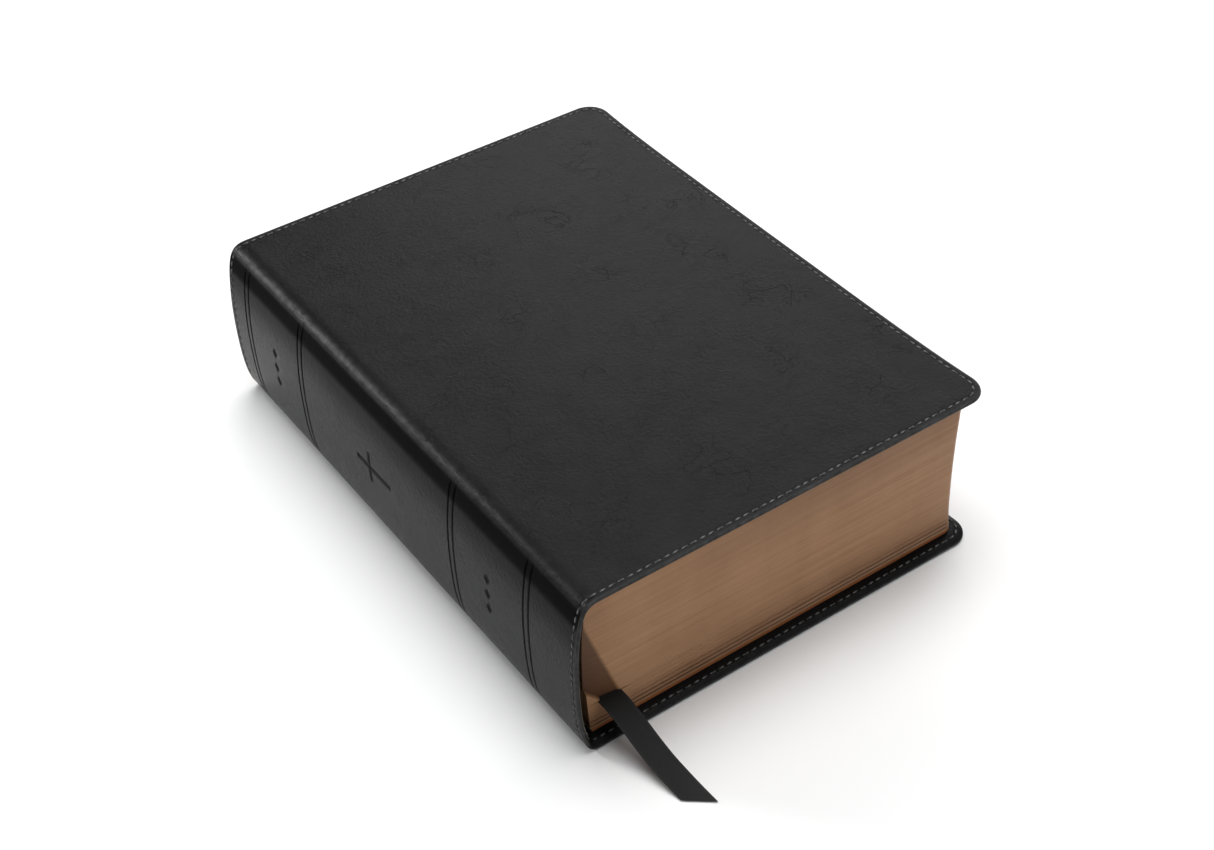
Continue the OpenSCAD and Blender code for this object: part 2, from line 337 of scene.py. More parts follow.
def leather(name):
    """Smooth imitation leather.

    It has mottling, fine pebble, hairline creases, rubbed edges whose lighter colour is partly a painted
    highlight, a painted highlight along the spine's shoulder, pressed marks darkened partly with painted shade,
    and a painted shade band below the shoulder.
    """
    n = Nodes(name)
    uv = n.coord("UV")
    wide = n.noise(uv, 2.2, 5.0, 0.62, 0.4)
    cloud = n.noise(uv, 9.0, 4.0, 0.6)
    warp = n.add("ShaderNodeVectorMath", operation="ADD")
    n.put(warp.inputs[0], uv)
    push = n.add("ShaderNodeTexNoise", {"Vector": uv, "Scale": 7.0, "Detail": 3.0})
    scaled = n.add("ShaderNodeVectorMath", {0: push.outputs["Color"]}, operation="SCALE")
    scaled.inputs["Scale"].default_value = 0.30
    n.put(warp.inputs[1], scaled.outputs[0])
    cells = {"Vector": warp.outputs[0], "Scale": 8.0}
    cracks = n.add("ShaderNodeTexVoronoi", cells, feature="DISTANCE_TO_EDGE")
    where = n.ramp(n.noise(uv, 4.0, 2.0), 0.5, 0.66)
    crease = n.times(n.ramp(cracks.outputs["Distance"], 0.0, 0.014, 1.0, 0.0), where)
    pebbles = n.add("ShaderNodeTexVoronoi", {"Vector": uv, "Scale": 95.0}, feature="SMOOTH_F1")
    pebble = pebbles.outputs["Distance"]
    fine = n.noise(uv, 320.0, 3.0, 0.6)
    wear_and_highlight = n.attribute("wear_and_highlight")
    press_and_shade = n.attribute("press_and_shade")
    painted_shade_band = n.attribute("painted_shade_band")
    tone = n.plus(n.times(n.ramp(wide, 0.3, 0.7), 0.65), n.times(n.ramp(cloud, 0.3, 0.7), 0.35))
    color = n.mix(tone, grey(0.0036), grey(0.0100))
    color = n.mix(n.times(crease, 0.2), color, grey(0.022))
    # rub_and_highlight lightens the rubbed rims, partly as a painted highlight, and paints a highlight along the
    # spine's shoulder
    rub_and_highlight = n.times(wear_and_highlight, n.ramp(n.noise(uv, 30.0, 4.0), 0.3, 0.7, 0.3, 1.0))
    color = n.mix(n.times(rub_and_highlight, 0.75), color, grey(0.080))
    # the tooling's own darker tone, deepened with painted shade in the impressions
    color = n.mix(n.times(press_and_shade, 0.85), color, grey(0.0018))
    # painted shade: a dark band below the spine's shoulder
    color = n.mix(n.times(painted_shade_band, 0.85), color, grey(0.0012))
    rough = n.plus(n.ramp(wide, 0.3, 0.7, 0.24, 0.31), n.times(press_and_shade, 0.25))
    rough = n.plus(rough, n.times(painted_shade_band, 0.6))
    rough = n.math("SUBTRACT", rough, n.times(wear_and_highlight, 0.13))
    height = n.plus(n.times(pebble, 0.5), n.times(fine, 0.5))
    height = n.math("SUBTRACT", height, n.times(crease, 0.6))
    normal = n.bump(cloud, 0.0008, 0.22, n.bump(height, 0.00022, 0.8))
    return n.finish(color, rough, normal, Specular_IOR_Level=0.062)


def thread(name, dark, light):
    """Twisted thread: slanting strands along each stitch."""
    n = Nodes(name)
    uv = n.coord("UV")
    wave = n.wave(uv, 1.0, 0.6, "DIAGONAL")
    color = n.mix(wave, grey(dark), grey(light))
    return n.finish(color, 0.55, n.bump(wave, 0.0001, 0.6), Specular_IOR_Level=0.35)


def gilt(name):
    """Bronze-coloured page edges: long leaf streaks, upright blotches of painted sheen, and painted shade in the
    creases, the recess and under the cover.
    """
    n = Nodes(name)
    at = n.coord("Object")
    leaf = n.noise(n.mapped(at, (14, 14, 3300)), 1.0, 3.0, 0.65)
    bundle = n.noise(n.mapped(at, (9, 9, 520)), 1.0, 3.0, 0.6)
    # painted sheen: upright blotches for the sheen on slightly wavy leaves
    painted_sheen_blotch = n.noise(n.mapped(at, (38, 38, 9)), 1.0, 3.0, 0.5, 0.5)
    cloud = n.noise(at, 90.0, 3.0)
    shade = n.attribute("shade")
    foot = n.attribute("foot")
    tone = n.times(n.ramp(leaf, 0.25, 0.75), 0.34)
    tone = n.plus(tone, n.times(n.ramp(bundle, 0.3, 0.7), 0.26))
    tone = n.plus(tone, n.times(n.ramp(painted_sheen_blotch, 0.3, 0.7), 0.28))
    tone = n.plus(tone, n.times(n.ramp(cloud, 0.3, 0.7), 0.12))
    color = n.mix(tone, (0.215, 0.108, 0.050, 1), (0.400, 0.222, 0.115, 1))
    color = n.mix(foot, color, (0.330, 0.115, 0.036, 1))
    # painted shade: the recess by the spine, the creases between sections and the shadow under the front cover;
    # also darker towards the bottom
    color = n.mix(shade, color, (0.055, 0.022, 0.010, 1))
    rough = n.ramp(tone, 0.2, 0.8, 0.52, 0.40)
    height = n.plus(n.times(leaf, 0.7), n.times(bundle, 0.5))
    normal = n.bump(height, 0.00012, 0.7)
    return n.finish(color, rough, normal, Metallic=0.12, Specular_IOR_Level=0.22)


# The printed page, in metres.
PRINT_PITCH = 0.0031  # from one line to the next
GUTTER_X, GUTTER_HALF = 0.002, 0.0035  # the gap between the columns
PRINT_OUT, PRINT_HALF = 0.066, 0.101  # out from the gutter, and up from the middle
GILT_X, GILT_Y = 0.0817, 0.1162  # the endleaf is gilt beyond these


def page(name):
    """Thin cream page printed with two columns of plain grey lines."""
    n = Nodes(name)
    at = n.add("ShaderNodeSeparateXYZ", {0: n.coord("Object")})
    x, y = at.outputs["X"], at.outputs["Y"]
    fibre = n.noise(n.coord("Object"), 900.0, 4.0)
    row = n.math("FRACT", n.times(y, 1 / PRINT_PITCH))
    index = n.math("FLOOR", n.times(y, 1 / PRINT_PITCH))
    on_row = n.math("LESS_THAN", n.math("ABSOLUTE", n.math("SUBTRACT", row, 0.5)), 0.22)
    column = n.math("ABSOLUTE", n.math("SUBTRACT", x, GUTTER_X))
    inside = n.times(n.math("GREATER_THAN", column, GUTTER_HALF), n.math("LESS_THAN", column, PRINT_OUT))
    inside = n.times(inside, n.math("LESS_THAN", n.math("ABSOLUTE", y), PRINT_HALF))
    along = n.add("ShaderNodeCombineXYZ", {0: n.times(x, 260.0), 1: n.times(index, 3.7)})
    words = n.math("GREATER_THAN", n.noise(along.outputs[0], 1.0, 0.0), 0.41)
    ink = n.times(n.times(on_row, inside), words)
    paper = n.mix(fibre, (0.72, 0.66, 0.53, 1), (0.83, 0.78, 0.66, 1))
    color = n.mix(n.times(ink, 0.72), paper, (0.10, 0.09, 0.08, 1))
    return n.finish(color, 0.62, n.bump(fibre, 0.00005, 0.5), Specular_IOR_Level=0.3)


def endleaf(name):
    """Cream endleaf whose cut edges carry the same gilding as the page block."""
    n = Nodes(name)
    at = n.coord("Object")
    fibre = n.noise(at, 700.0, 4.0)
    paper = n.mix(fibre, (0.74, 0.69, 0.58, 1), (0.84, 0.80, 0.70, 1))
    place = n.add("ShaderNodeSeparateXYZ", {0: at})
    edge = n.math("MAXIMUM", n.math("GREATER_THAN", n.math("ABSOLUTE", place.outputs["Y"]), GILT_Y),
                  n.math("GREATER_THAN", place.outputs["X"], GILT_X))
    color = n.mix(edge, paper, (0.300, 0.105, 0.034, 1))
    return n.finish(color, 0.6, n.bump(fibre, 0.00005, 0.4), Specular_IOR_Level=0.3)


def board(name):
    """Grey-brown pressed card with flecks."""
    n = Nodes(name)
    at = n.coord("Object")
    fibre = n.noise(n.mapped(at, (1, 2.4, 1)), 420.0, 5.0, 0.7)
    fleck = n.ramp(n.noise(at, 1400.0, 2.0), 0.62, 0.72)
    color = n.mix(fibre, (0.15, 0.125, 0.10, 1), (0.26, 0.23, 0.19, 1))
    color = n.mix(n.times(fleck, 0.5), color, (0.08, 0.07, 0.06, 1))
    return n.finish(color, 0.85, n.bump(fibre, 0.0001, 0.6), Specular_IOR_Level=0.2)


def lining_paper(name):
    """Black lining paper with a fine laid line and soft fibre."""
    n = Nodes(name)
    at = n.coord("Object")
    wave = n.wave(at, 300.0, 0.8, "Y", Detail=2.0)
    fibre = n.noise(at, 1100.0, 4.0)
    tone = n.plus(n.times(wave, 0.35), n.times(fibre, 0.65))
    color = n.mix(tone, grey(0.011), grey(0.021))
    return n.finish(color, 0.7, n.bump(tone, 0.00006, 0.6), Specular_IOR_Level=0.25)


def cloth(name, low, high, pitch=0.00055, space="Object"):
    """Open plain-weave book cloth."""
    n = Nodes(name)
    at = n.coord(space)
    k = 1.0 / pitch / 3.14159 * (1.0 if space == "Object" else 0.1)
    warp = n.wave(at, k, 0.3, "X" if space == "UV" else "Z")
    weft = n.wave(at, k, 0.3, "Y")
    weave = n.times(warp, weft)
    dirt = n.noise(at, 60.0 if space == "Object" else 6.0, 4.0)
    color = n.mix(weave, low, high)
    color = n.mix(n.times(n.ramp(dirt, 0.4, 0.7), 0.35), color, low)
    return n.finish(color, 0.85, n.bump(weave, 0.0001, 0.7), Specular_IOR_Level=0.2)


def cord_thread(name):
    """Linen sewing thread."""
    n = Nodes(name)
    at = n.coord("Object")
    wave = n.wave(at, 900.0, 1.0, "DIAGONAL")
    color = n.mix(wave, (0.52, 0.49, 0.42, 1), (0.80, 0.77, 0.68, 1))
    return n.finish(color, 0.7, n.bump(wave, 0.0001, 0.8), Specular_IOR_Level=0.25)


def satin(name):
    """Black satin ribbon: close ribs across it, long floats along it and firm selvedges."""
    n = Nodes(name)
    uv = n.coord("UV")
    rib = n.wave(uv, 7.0, 0.15, "X")
    twill = n.wave(uv, 4.2, 0.4, "DIAGONAL")
    slub = n.noise(n.mapped(uv, (0.4, 6.0, 1)), 2.0, 3.0)
    edge = n.attribute("selvedge")
    tone = n.plus(n.times(rib, 0.35), n.times(twill, 0.35))
    tone = n.plus(tone, n.times(slub, 0.3))
    color = n.mix(tone, grey(0.0055), grey(0.0150))
    color = n.mix(n.times(edge, 0.6), color, grey(0.020))
    height = n.plus(n.times(rib, 0.5), n.times(twill, 0.5))
    return n.finish(color, n.ramp(tone, 0.2, 0.8, 0.62, 0.5), n.bump(height, 0.00006, 0.6),
                    Specular_IOR_Level=0.18, Sheen_Weight=0.04, Sheen_Roughness=0.4)


LEATHER = leather("imitation_leather")
THREAD = thread("cover_thread", 0.024, 0.115)
GILT = gilt("bronze_edge")
PAGE = page("printed_page")
ENDLEAF = endleaf("endleaf_paper")
BOARD = board("grey_board")
LINING = lining_paper("black_lining_paper")
MULL = cloth("sewn_lining_cloth", (0.36, 0.33, 0.26, 1), (0.70, 0.66, 0.55, 1))
HINGE_CLOTH = cloth("hinge_cloth", grey(0.010), grey(0.026), space="UV")
SEWING = cord_thread("linen_thread")
SATIN = satin("black_satin")


# ---------------------------------------------------------------- the leather skin
def pressed(s, y, skin):
    """How deep the blind tooling is at (s, y) on the spine, 0 to 1."""
    x, z = skin.xz(s)
    on_spine = step(1.0, 2.4, z) * (1 - step(65.5, 68.5, z)) * (x < -80)
    depth = np.zeros(np.shape(y))
    for b in BANDS:
        off = abs(abs(y - b) - BAND_HALF)
        depth = np.maximum(depth, 1 - step(0.25, 0.62, off))
    up = (1 - step(0.65, 1.05, abs(z - CROSS_Z))) * (1 - step(11.9, 12.3, abs(y - (CROSS_Y - 3))))
    bar = (1 - step(0.65, 1.05, abs(y - CROSS_Y))) * (1 - step(6.9, 7.3, abs(z - CROSS_Z)))
    depth = np.maximum(depth, np.maximum(up, bar))
    for ly in LOZENGE_Y:
        for lz in LOZENGE_Z:
            depth = np.maximum(depth, 1 - step(1.55, 2.0, abs(y - ly) + abs(z - lz) * 0.8))
    return depth * on_spine


def outside_depth(s, y, d, skin, tooled):
    """Depth of the outer surface below the nominal one: stitch groove, tooling and soft waves."""
    groove = np.exp(-(((d - STITCH_IN) / GROOVE_HALF) ** 2))
    depth = GROOVE_DEPTH * groove + 0.02 * np.exp(-(((d - 1.0) / 0.6) ** 2))
    if tooled:
        depth = depth + PRESS_DEPTH * pressed(s, y, skin)
        x, z = skin.xz(s)
        flat = step(-78, -60, x) * step(2, 16, d)
        wave = 0.16 * np.sin(x / 21 + 1.1 * np.sin(y / 34)) + 0.14 * np.sin(y / 29 + 0.8 * np.cos(x / 25))
        wave = wave + 0.05 * np.sin(x / 7.3 + y / 11.0) * np.sin(y / 8.7 - x / 15.0)
        depth = depth + wave * flat * 0.7 + 0.12 * flat
    return depth


def ring_plan():
    """(d, depth, outside) of every ring, from the middle of the inside to the middle of the outside.

    d is the distance in from the cover's edge. Rings stand close together at the edge, the
    stitches and the tooling.
    """
    rows = [(d, LEATHER_T, 0) for d in (COVER_HALF - 0.25, 110, 90, 70, 50, 30, 18, TURNIN + 0.3)]
    rows += [(TURNIN, COVER_T - 0.45, 0), (TURNIN - 0.05, COVER_T - 0.12, 0), (TURNIN - 0.25, COVER_T, 0)]
    rows += [(d, COVER_T, 0) for d in (11, 8, 5.5, 4.2)]
    thinned = ((3.4, 0.06), (2.9, 0.20), (2.3, 0.24), (1.9, 0.34), (1.4, 0.55), (0.95, 0.85))
    rows += [(d, COVER_T - less, 0) for d, less in thinned]
    r = EDGE_R
    turn = np.radians([8, 25, 45, 68, 90, 112, 135, 155, 172])
    rows += [(r * (1 - math.sin(a)), r + r * math.cos(a), 0) for a in turn]
    outer = list(np.arange(1.0, 5.0, 0.28)) + [6.0, 8.0, 10.0, 12.0]
    for band in (15.5, 29.5, 59.0, 77.0):
        outer += list(np.arange(band - 2.7, band + 2.71, 0.27))
    for lozenge in (37.5, 53.5):
        outer += list(np.arange(lozenge - 2.2, lozenge + 2.21, 0.34))
    outer += list(np.arange(100.0, COVER_HALF - 0.3, 0.4))
    outer += [20, 22.5, 25, 34, 42, 45, 48, 50.5, 64, 67, 70, 73, 82, 85, 88, 91, 94, 97, COVER_HALF - 0.25]
    outer = sorted(set(round(v, 2) for v in outer))
    apart = [outer[0]]
    for v in outer[1:]:
        if v - apart[-1] > 0.15:
            apart.append(v)
    return rows + [(d, 0.0, 1) for d in apart]


RINGS = ring_plan()


def ring_points(length, d, fixed_s):
    """(s, y) round the U of one ring: along the tail, round the fore-edge, back along the head."""
    half = COVER_HALF - d
    r = min(max(CORNER_R - d, 0.3), half * 0.98)
    end = length - d
    tail = [(s, -half) for s in fixed_s]
    tail += [(s, -half) for s in np.linspace(fixed_s[-1], end - r, 61)[1:]]
    corner = np.linspace(0, math.pi / 2, 13)[1:]
    tail += [(end - r + r * math.sin(a), -half + r - r * math.cos(a)) for a in corner]
    side = [(end, y) for y in np.linspace(-half + r, half - r, 91)[1:-1]]
    head = [(s, -y) for s, y in reversed(tail)]
    p = np.array(tail + side + head)
    p[:, 0] += FLARE * (abs(p[:, 1]) / COVER_HALF) ** 5 * step(0.35, 1.0, p[:, 0] / length)
    return p


def leather_cover(name, skin, fixed_s, tooled):
    """One closed sheet with its turned-in border, rounded edge and outer face."""
    verts, uv, wear_and_highlight, press_and_shade, painted_shade_band = [], [], [], [], []
    for d, depth, out in RINGS:
        p = ring_points(skin.length, d, fixed_s)
        s, y = p[:, 0], p[:, 1]
        dep = np.full(len(s), depth)
        mark = np.zeros(len(s))
        if out:
            dep = dep + outside_depth(s, y, d, skin, tooled)
            if tooled:
                mark = pressed(s, y, skin)
        verts.append(skin.at(s, y, dep))
        uv.append(np.stack([s / SKIN_UV + (0.0 if out else INSIDE_U), y / SKIN_UV], 1))
        # the rims are rubbed wear; their lighter colour is partly a painted highlight
        rub_and_highlight = (1 - step(0.3, 1.6, d)) * 0.8 if depth < 1.5 * EDGE_R else 0.15 * (d < 2)
        x, z = skin.xz(s)
        # painted highlight along the spine's shoulder, fading towards the tail
        painted_shoulder_highlight = np.exp(-(((x - SHOULDER_X) / 1.7) ** 2)) * (z > 60) * out
        painted_shoulder_highlight = painted_shoulder_highlight * (0.25 + 0.65 * step(-90.0, 60.0, y))
        wear_and_highlight.append(np.maximum(np.full(len(s), float(rub_and_highlight)), painted_shoulder_highlight))
        press_and_shade.append(mark)
        # painted shade: a dark band below the spine's shoulder, darkest just under it
        band = (0.35 * step(44.0, 61.0, z) + 0.65 * step(59.5, 63.0, z)) * (1 - step(67.0, 68.6, z))
        painted_shade_band.append(band * (x < -80) * out)
    m = len(verts[0])
    count = len(RINGS)
    faces = []
    for i in range(count - 1):
        a, b = i * m, (i + 1) * m
        faces += [(a + j, a + j + 1, b + j + 1, b + j) for j in range(m - 1)]
    for base, flip in ((0, False), ((count - 1) * m, True)):
        for j in range((m - 1) // 2):
            k = m - 1 - j
            if k - 1 <= j + 1:
                break
            q = (base + j, base + j + 1, base + k - 1, base + k)
            faces.append(q if flip else q[::-1])
    end = [i * m for i in range(count)] + [i * m + m - 1 for i in reversed(range(count))]
    faces.append(tuple(end))
    if skin is back_skin:
        faces = [f[::-1] for f in faces]
    marks = {"wear_and_highlight": np.concatenate(wear_and_highlight), "press_and_shade": np.concatenate(press_and_shade), "painted_shade_band": np.concatenate(painted_shade_band)}
    return make(name, np.concatenate(verts), faces, [LEATHER], np.concatenate(uv), marks=marks)


def leather_corner(name, skin):
    """The strip of the same leather round the back corner, between the back cover and the spine."""
    stations = np.linspace(0, skin.length, 9)
    verts, uv, press_and_shade = [], [], []
    for s in stations:
        loop = [(-(COVER_HALF - d), dep, d, o) for d, dep, o in RINGS]
        loop += [(COVER_HALF - d, dep, d, o) for d, dep, o in reversed(RINGS)]
        y, dep, d, o = (np.array(v, float) for v in zip(*loop))
        ss = np.full(len(y), s)
        extra = outside_depth(ss, y, d, skin, False) + PRESS_DEPTH * pressed(ss, y, skin)
        verts.append(skin.at(ss, y, dep + extra * o))
        uv.append(np.stack([ss / SKIN_UV - 0.03, y / SKIN_UV], 1))
        press_and_shade.append(pressed(ss, y, skin) * o)
    m = len(verts[0])
    faces = []
    for i in range(len(stations) - 1):
        a, b = i * m, (i + 1) * m
        faces += [(a + j, b + j, b + (j + 1) % m, a + (j + 1) % m) for j in range(m)]
    faces += [tuple(range(m)), tuple(reversed(range((len(stations) - 1) * m, len(stations) * m)))]
    press_and_shade = np.concatenate(press_and_shade)
    marks = {"wear_and_highlight": np.zeros(len(press_and_shade)), "press_and_shade": press_and_shade, "painted_shade_band": np.zeros(len(press_and_shade))}
    return make(name, np.concatenate(verts), faces, [LEATHER], np.concatenate(uv), marks=marks)


def layer(name, skin, s0, s1, half, d0, d1, material, spacing=1.0):
    """A flat layer between two depths, wrapped with the skin."""
    stations = np.linspace(s0, s1, max(3, int((s1 - s0) / spacing)))
    rows = np.linspace(-half, half, 25)
    verts, uv, faces = [], [], []
    k = len(rows)
    for depth in (d0, d1):
        for s in stations:
            verts.append(skin.at(np.full(k, s), rows, np.full(k, depth)))
            uv.append(np.stack([np.full(k, s / SKIN_UV), rows / SKIN_UV], 1))
    n = len(stations)
    for i in range(n - 1):
        for j in range(k - 1):
            a = i * k + j
            b = n * k + a
            faces.append((a, a + k, a + k + 1, a + 1))
            faces.append((b, b + 1, b + k + 1, b + k))
    for i in range(n - 1):
        for j, turn in ((0, 1), (k - 1, -1)):
            a = i * k + j
            q = (a, n * k + a, n * k + a + k, a + k)
            faces.append(q[::turn])
    for j in range(k - 1):
        for i, turn in ((0, -1), (n - 1, 1)):
            a = i * k + j
            q = (a, n * k + a, n * k + a + 1, a + 1)
            faces.append(q[::turn])
    if skin is back_skin:
        faces = [f[::-1] for f in faces]
    return make(name, np.concatenate(verts), faces, [material], np.concatenate(uv))


STITCH, PITCH = 2.55, 3.6  # length of a stitch, and from one to the next
END_GAP = 1.2  # from each end of the row
THREAD_SIDES, THREAD_STEPS = 8, 6


def stitching(name, skin, fixed_s, sides):
    """Separate stitches sunk in the groove round the cover.

    sides gives each row's depth and which way it faces.
    """
    p = ring_points(skin.length, STITCH_IN, fixed_s)
    run = arc_length(p)
    verts, faces, uv = [], [], []
    count = int((run[-1] - 2 * END_GAP) / PITCH)
    pitch = (run[-1] - 2 * END_GAP) / count
    for depth0, sign in sides:
        for i in range(count):
            a = END_GAP + i * pitch + 0.5
            slant = rng.uniform(-0.05, 0.05)
            lift = rng.uniform(-0.03, 0.03)
            base = len(verts)
            for q in range(THREAD_STEPS + 1):
                t = q / THREAD_STEPS
                at = a + t * STITCH
                s, y = (np.interp(at, run, p[:, c]) for c in (0, 1))
                s2, y2 = (np.interp(at + 0.2, run, p[:, c]) for c in (0, 1))
                ln = math.hypot(s2 - s, y2 - y)
                ls, ly = -(y2 - y) / ln, (s2 - s) / ln
                fat = max(0.12, (1 - abs(2 * t - 1) ** 3.2)) ** 0.5
                side = 0.10 * (t - 0.5) + slant
                for k in range(THREAD_SIDES):
                    g = 2 * math.pi * k / THREAD_SIDES
                    w = 0.36 * fat * math.cos(g) + side
                    h = 0.24 * fat * math.sin(g) - 0.10 * (1 - fat)
                    place = (s + ls * w, y + ly * w, depth0 - sign * (h + lift))
                    verts.append(skin.at(*(np.array(v) for v in place)))
                    uv.append((at * 0.22, k / THREAD_SIDES * 0.30))
            for q in range(THREAD_STEPS):
                b = base + q * THREAD_SIDES
                faces += tube_faces(b, b + THREAD_SIDES, THREAD_SIDES)
            last = base + THREAD_STEPS * THREAD_SIDES
            faces.append(tuple(reversed(range(base, base + THREAD_SIDES))))
            faces.append(tuple(range(last, last + THREAD_SIDES)))
    ob = make(name, verts, faces, [THREAD], uv, sharp=80)
    fix_normals(ob)
    return ob


front_fixed = np.linspace(0, front_skin.where(x=-76.5), 112)
back_fixed = np.linspace(0, back_skin.where(x=-78.0), 14)

front_leather = leather_cover("cover_leather_front", front_skin, front_fixed, True)
back_leather = leather_cover("cover_leather_back", back_skin, back_fixed, False)
corner_leather = leather_corner("cover_leather_corner", corner_skin)
BOARD_OUT = LEATHER_T + 0.05  # depth of the boards' outer face
CARD_IN, SPINE_BOARD_IN = 2.15, 2.2  # and of their inner face
CLOTH_OUT, CLOTH_IN = 2.24, 2.5
CARD_X, CLOTH_X = -76.0, -71.0  # where the cards start and the hinge cloth ends
CARD_IN_X, CARD_IN_Y = 3.2, 3.4  # the cards stop short of the thinned edge


def card(name, skin):
    start, end = skin.where(x=CARD_X), skin.length - CARD_IN_X
    return layer(name, skin, start, end, COVER_HALF - CARD_IN_Y, BOARD_OUT, CARD_IN, BOARD, 8.0)


def hinge_cloth(name, skin, start):
    end, half = skin.where(x=CLOTH_X), COVER_HALF - TURNIN - 0.1
    return layer(name, skin, start, end, half, CLOTH_OUT, CLOTH_IN, HINGE_CLOTH)


front_card = card("front_board_card", front_skin)
back_card = card("back_board_card", back_skin)
spine_from, spine_to = front_skin.where(z=5.0), front_skin.where(z=63.0)
spine_board = layer("spine_board", front_skin, spine_from, spine_to, COVER_HALF - 1.4,
                    BOARD_OUT, SPINE_BOARD_IN, BOARD)
spine_cloth = hinge_cloth("spine_hinge_cloth", front_skin, front_skin.where(z=4.2))
back_cloth = hinge_cloth("back_hinge_cloth", back_skin, 0.3)
inner_row = (COVER_T - 0.02, -1)
front_thread = stitching("stitches_front", front_skin, front_fixed, ((0.02, 1), inner_row))
back_thread = stitching("stitches_back", back_skin, back_fixed, ((0.22, 1), inner_row))
leathers = (front_leather, back_leather, corner_leather)
for ob in leathers + (front_card, back_card, spine_board, spine_cloth, back_cloth):
    fix_normals(ob)

# ---------------------------------------------------------------- the page block
PAGE_HALF = 117.0
PAGE_FORE = 83.5
PAGE_R = 3.0
BLOCK_BACK = -81.0
BLOCK_LOW, BLOCK_TOP = 3.2, 67.75
TOP_R = 4.0  # the block's back is rounded off under the front cover
SLIT = 16.42  # height of the leaves just above the ribbon
LOWER_TOP = 16.0
ROW = 0.42  # height of one row of leaves in the mesh
NEAR, TAIL_RUN = 20.0, 161.0  # the tail edge has close points near the spine
CAP_RIM = 0.5  # the gilding laps this far on to the top and bottom leaf
group_low = [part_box(f"sections_{k}")[0].z / MM for k in range(1, 6)]


def bow(z):
    """The hollow of the fore-edge and the back: 1 in the middle, 0 at the covers."""
    return 1 - ((z - BOOK_T / 2) / 32.0) ** 2


def recess(x, z):
    """How far the leaves above the ribbon stand back from the tail, beside the spine: 0 to 1."""
    right = -82.0 + (55.0 - z) / 39.0 * 13.0
    low = 17.0 + (-77.0 - x) * 7.0 / 6.0
    inside = step(-0.5, 0.5, right - x) * step(-0.35, 0.35, z - low) * (z > SLIT - 0.1) * (z < 57)
    return inside, np.clip((right - x) / 12.0, 0, 1)


CREASES = ((5.5, 0.42, 0.42), (7.3, 0.60, 0.55), (9.6, 0.25, 0.40))  # height, depth, half height


